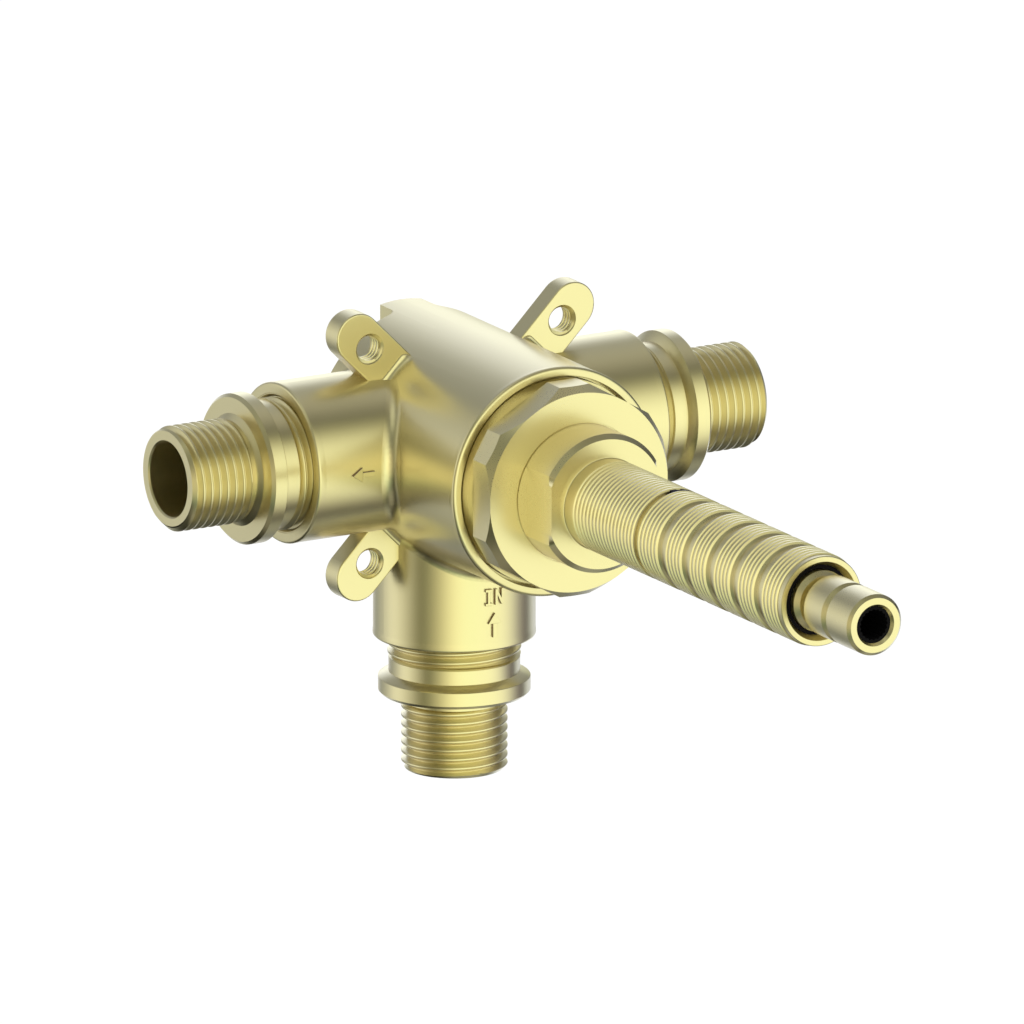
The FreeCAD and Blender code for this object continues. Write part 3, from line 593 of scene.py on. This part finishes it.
def sleeve_skin():
    """Skin of the sleeve, from the room for the cartridge's nose over the outside and by the bore.

    Between the flats' stations the radius is the smaller of the base's and flat / |cos(angle)|.
    """
    corner = math.degrees(math.acos(BASE_FLAT / BASE))
    face_corner = math.degrees(math.acos(BASE_FLAT / BASE_FACE))
    corners = [side + sign * a for side in (0, 180, 360) for sign in (-1, 1)
               for a in (corner, face_corner)]
    angles = turn_angles(SLEEVE_COLUMNS, [a for a in corners if 0 < a < 360])
    flat = BASE_FLAT / np.maximum(np.abs(np.cos(angles)), 1e-6)
    stations, radii = thread_outline()

    def threaded(start, stop):
        within = stations[(stations > start) & (stations < stop)]
        along = np.concatenate([[start], within, [stop]])
        return list(zip(np.interp(along, stations, radii), along))

    rows = plain_rows(angles, [
        (NOSE_ROOM, SLEEVE_BACK), (SLEEVE_FLANGE, SLEEVE_BACK),
        (SLEEVE_FLANGE, SLEEVE_FLANGE_FRONT), (BASE, SLEEVE_FLANGE_FRONT),
        (BASE, COLLAR_BACK), (COLLAR, COLLAR_BACK), (COLLAR, COLLAR_FRONT),
        (BASE, COLLAR_FRONT), (BASE, FLAT_BACK)])
    rows += [(np.minimum(radius, flat), station) for radius, station in plain_rows(
        angles, [(BASE, FLAT_BACK), (BASE, BASE_FRONT), (BASE_FACE, NECK_BACK)])]
    outline = [(SLEEVE_NECK + NECK_ROUND * (1 - math.sin(a)),
                NECK_BACK + NECK_ROUND * (1 - math.cos(a))) for a in np.linspace(0, math.pi / 2, 8)]
    outline += threaded(THREAD_START, NARROW_BACK)
    outline += [(GROOVE_FLOOR, NARROW_BACK + WALL_LEAN), (GROOVE_FLOOR, NARROW_FRONT - WALL_LEAN)]
    start = NARROW_FRONT
    for front in WIDE_FRONTS:
        back = crest_fronts[crest_fronts < front - WIDE_REACH].max()
        foot = back + (SLEEVE_CREST - FLANK_FOOT) * SLEEVE_FLANK / (SLEEVE_CREST - SLEEVE_ROOT)
        outline += threaded(start, back)
        outline += [(FLANK_FOOT, foot), (GROOVE_FLOOR, foot + FLANK_FOOT - GROOVE_FLOOR),
                    (GROOVE_FLOOR, front - WALL_LEAN)]
        start = front
    outline += threaded(start, THREAD_END)
    outline += [(LIP, THREAD_END + WALL_LEAN), (LIP, LIP_FRONT - LIP_BREAK),
                (LIP - LIP_BREAK, LIP_FRONT), (LIP_MOUTH, LIP_FRONT), (SLEEVE_BORE, LINER_FRONT),
                (SLEEVE_BORE, SLEEVE_STEP), (NOSE_ROOM, SLEEVE_STEP)]
    return turned_skin(angles, rows + plain_rows(angles, outline), in_barrel)


sleeve = make_piece("threaded_sleeve_cut", [sleeve_skin()],
                    finish("sleeve_brass_satin", BRASS, TURNED_ROUGHNESS, axis=BARREL_AXIS),
                    "valve", smooth_to=SLEEVE_SMOOTH_TO)
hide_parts("threaded_sleeve")

# Liner: black plastic tube between sleeve and spindle.
# It is snapped into the two windows of the sleeve's first groove.
BLACK = (0.004, 0.004, 0.004)
dress("guide_liner", finish("liner_plastic", BLACK, roughness=0.6, metallic=0.0, specular=0.12,
                            grains=1800.0, color_change=0.3))

# Spindle: turned brass rod that carries the handle, with two grooves and a bored end.
# It is pushed on the stem's splines and held by the screw.
dress("spindle", finish("spindle_brass_satin", BRASS, TURNED_ROUGHNESS, axis=BARREL_AXIS))

# Handle insert: black plastic bush with a splined hole.
# It is pushed into the spindle's bored end.
dress("handle_insert", finish("insert_plastic", BLACK, roughness=0.7, metallic=0.0, specular=0.1,
                              grains=1800.0, color_change=0.3))

# Cartridge: everything inside the barrel that switches the water, hidden once the nut is on.
# Ceramic discs, plastic housing and driver, rubber seals, brass stem, steel clip and screw.
WHITE_CERAMIC, GREY_CERAMIC = (0.85, 0.85, 0.82), (0.45, 0.45, 0.46)
GREY_PLASTIC, PALE_PLASTIC = (0.6, 0.62, 0.62), (0.75, 0.75, 0.72)
RUBBER, RED_FIBRE, STEEL = (0.02, 0.02, 0.02), (0.35, 0.06, 0.04), (0.6, 0.6, 0.6)
dress("fixed_disc", finish("white_ceramic", WHITE_CERAMIC, roughness=0.2, metallic=0.0,
                           grains=900.0))
dress("moving_disc", finish("grey_ceramic", GREY_CERAMIC, roughness=0.2, metallic=0.0,
                            grains=900.0))
dress("cartridge_housing", finish("housing_plastic", GREY_PLASTIC, roughness=0.45, metallic=0.0,
                                  grains=1500.0))
for node in ("disc_driver", "slip_washer"):
    dress(node, finish(node + "_plastic", PALE_PLASTIC, roughness=0.4, metallic=0.0,
                       grains=1500.0))
for node in ("base_seal", "housing_ring", "stem_rings"):
    dress(node, finish(node + "_rubber", RUBBER, roughness=0.6, metallic=0.0, grains=2500.0,
                       relief=0.15))
dress("port_washers", finish("red_fibre", RED_FIBRE, roughness=0.8, metallic=0.0, grains=1200.0,
                             color_change=0.25, relief=0.4))
dress("valve_stem", finish("stem_brass", BRASS, roughness=0.25, axis=BARREL_AXIS))
for node in ("stem_clip", "spindle_screw"):
    dress(node, finish(node + "_steel", STEEL, roughness=0.25, axis=BARREL_AXIS))

# Studio: a pale floor well below the valve, one broad soft lamp and an even pale room.
# The metal sees soft boxes with black cards between them. Each box is (turn from straight ahead
# toward the right outlet, rise, half width, colour), in degrees and at full strength in its middle.
FLOOR_HEIGHT, FLOOR_RADIUS, FLOOR_CORNERS = -0.30, 2.5, 96
FLOOR_COLOR = (0.93, 0.93, 0.93)
FLOOR_LIFT = 0.10
ROOM_LEVEL = 0.80
LAMP_POWER = 0.85
LAMP_SPREAD = 40.0
LAMP_TURN = (38.0, 12.0, 20.0)
CARD_COLOR = (0.01, 0.01, 0.01)
SOFT_BOXES = (
    (11, -1, 70, (0.86, 0.81, 0.73)),
    (161, -10, 25, (0.17, 0.16, 0.22)),
    (-127, -2, 50, (0.58, 0.57, 0.73)),
    (-42, -3, 35, (0.25, 0.11, 0.03)),
    (43, -5, 50, (0.23, 0.27, 0.34)),
    (151, 47, 70, (0.31, 0.31, 0.43)),
    (133, -35, 25, (0.21, 0.22, 0.33)),
    (-59, 35, 70, (0.16, 0.16, 0.17)),
    (-29, -13, 50, (0.24, 0.33, 0.32)),
    (-127, -2, 25, (0.24, 0.24, 0.31)),
    (105, -72, 25, (0.32, 0.32, 0.39)),
    (153, -27, 25, (0.42, 0.42, 0.51)),
    (120, -23, 25, (0.71, 0.74, 1.07)),
    (156, 16, 25, (0.56, 0.58, 0.93)),
    (106, 75, 35, (0.09, 0.07, 0.03)),
    (148, 0, 25, (0.43, 0.44, 0.30)),
    (-65, -64, 25, (0.26, 0.24, 0.27)),
    (173, -21, 35, (0.26, 0.27, 0.35)),
    (-107, 4, 50, (0.12, 0.10, 0.03)),
    (68, -26, 35, (0.15, 0.11, 0.23)),
    (168, 6, 25, (0.17, 0.18, 0.26)),
    (-84, 66, 25, (0.38, 0.37, 0.38)),
)


def toward(turn, rise):
    """Direction at a turn from straight ahead toward the right outlet, and a rise, in radians."""
    return math.sin(turn) * math.cos(rise), -math.cos(turn) * math.cos(rise), math.sin(rise)


around = turn_angles(FLOOR_CORNERS)[:-1]
floor_points = np.stack([FLOOR_RADIUS * np.cos(around), FLOOR_RADIUS * np.sin(around),
                         np.full_like(around, FLOOR_HEIGHT)], axis=-1)
floor_mesh = bpy.data.meshes.new("floor")
floor_mesh.from_pydata(floor_points, [], [list(range(FLOOR_CORNERS))])
floor = bpy.data.objects.new("floor", floor_mesh)
bpy.context.scene.collection.objects.link(floor)
paint = finish("floor_paint", FLOOR_COLOR, roughness=0.9, metallic=0.0, specular=0.0, grains=40.0,
               color_change=0.004, relief=0.0)
paint_shader = paint.node_tree.nodes["Principled BSDF"]
paint_shader.inputs["Emission Color"].default_value = (1, 1, 1, 1)
to_camera = new_node(paint.node_tree, "ShaderNodeLightPath").outputs["Is Camera Ray"]
lift = new_node(paint.node_tree, "ShaderNodeMath", [
    (0, to_camera), (1, FLOOR_LIFT)], operation="MULTIPLY")
paint.node_tree.links.new(lift.outputs[0], paint_shader.inputs["Emission Strength"])
floor_mesh.materials.append(paint)
floor.visible_glossy = False

world = bpy.data.worlds.new("studio")
bpy.context.scene.world = world
world.use_nodes = True
world.cycles.sampling_method = "NONE"
room = world.node_tree
way = new_node(room, "ShaderNodeTexCoord").outputs["Generated"]
light = CARD_COLOR
for turn, rise, half_width, color in SOFT_BOXES:
    facing = new_node(room, "ShaderNodeVectorMath", [
        (0, way), (1, toward(math.radians(turn), math.radians(rise)))],
        operation="DOT_PRODUCT").outputs["Value"]
    soft_edge = new_node(room, "ShaderNodeMapRange", [
        ("Value", facing), ("From Min", math.cos(math.radians(half_width))), ("From Max", 1.0)],
        interpolation_type="SMOOTHSTEP")
    light = new_node(room, "ShaderNodeVectorMath", [
        (0, soft_edge.outputs["Result"]), (1, color), (2, light)],
        operation="MULTIPLY_ADD").outputs[0]
ray = new_node(room, "ShaderNodeLightPath")
level = new_node(room, "ShaderNodeMix", [
    (0, ray.outputs["Is Glossy Ray"]), (6, (ROOM_LEVEL, ROOM_LEVEL, ROOM_LEVEL, 1)), (7, light)],
    data_type="RGBA")
shown = new_node(room, "ShaderNodeMix", [
    (0, ray.outputs["Is Camera Ray"]), (6, level.outputs[2]), (7, (1, 1, 1, 1))],
    data_type="RGBA")
room.links.new(shown.outputs[2], room.nodes["Background"].inputs["Color"])

lamp_data = bpy.data.lights.new("broad_lamp", "SUN")
lamp_data.energy = LAMP_POWER
lamp_data.angle = math.radians(LAMP_SPREAD)
lamp = bpy.data.objects.new("broad_lamp", lamp_data)
lamp.rotation_euler = [math.radians(a) for a in LAMP_TURN]
lamp.visible_glossy = False
bpy.context.scene.collection.objects.link(lamp)

# Camera: a parallel view from 30 degrees to the left and 15 above, as in the photograph.
# Its place is shifted so that the valve stands in the frame where the photograph has it.
VIEW_TURN, VIEW_RISE = 30.0, 15.0
VIEW_WIDTH = 0.20118
VIEW_RIGHT, VIEW_DOWN = 0.01134, 0.01480
VIEW_DISTANCE = 2.0
view_turn, view_rise = math.radians(VIEW_TURN), math.radians(VIEW_RISE)
back = Vector(toward(-view_turn, view_rise))
right = Vector((math.cos(view_turn), -math.sin(view_turn), 0))
camera_data = bpy.data.cameras.new("camera")
camera_data.type = "ORTHO"
camera_data.ortho_scale = VIEW_WIDTH
camera = bpy.data.objects.new("camera", camera_data)
camera.location = right * VIEW_RIGHT - back.cross(right) * VIEW_DOWN + back * VIEW_DISTANCE
camera.rotation_mode = "QUATERNION"
camera.rotation_quaternion = (-back).to_track_quat("-Z", "Y")
bpy.context.scene.collection.objects.link(camera)
bpy.context.scene.camera = camera
bpy.context.scene.view_settings.view_transform = "Standard"
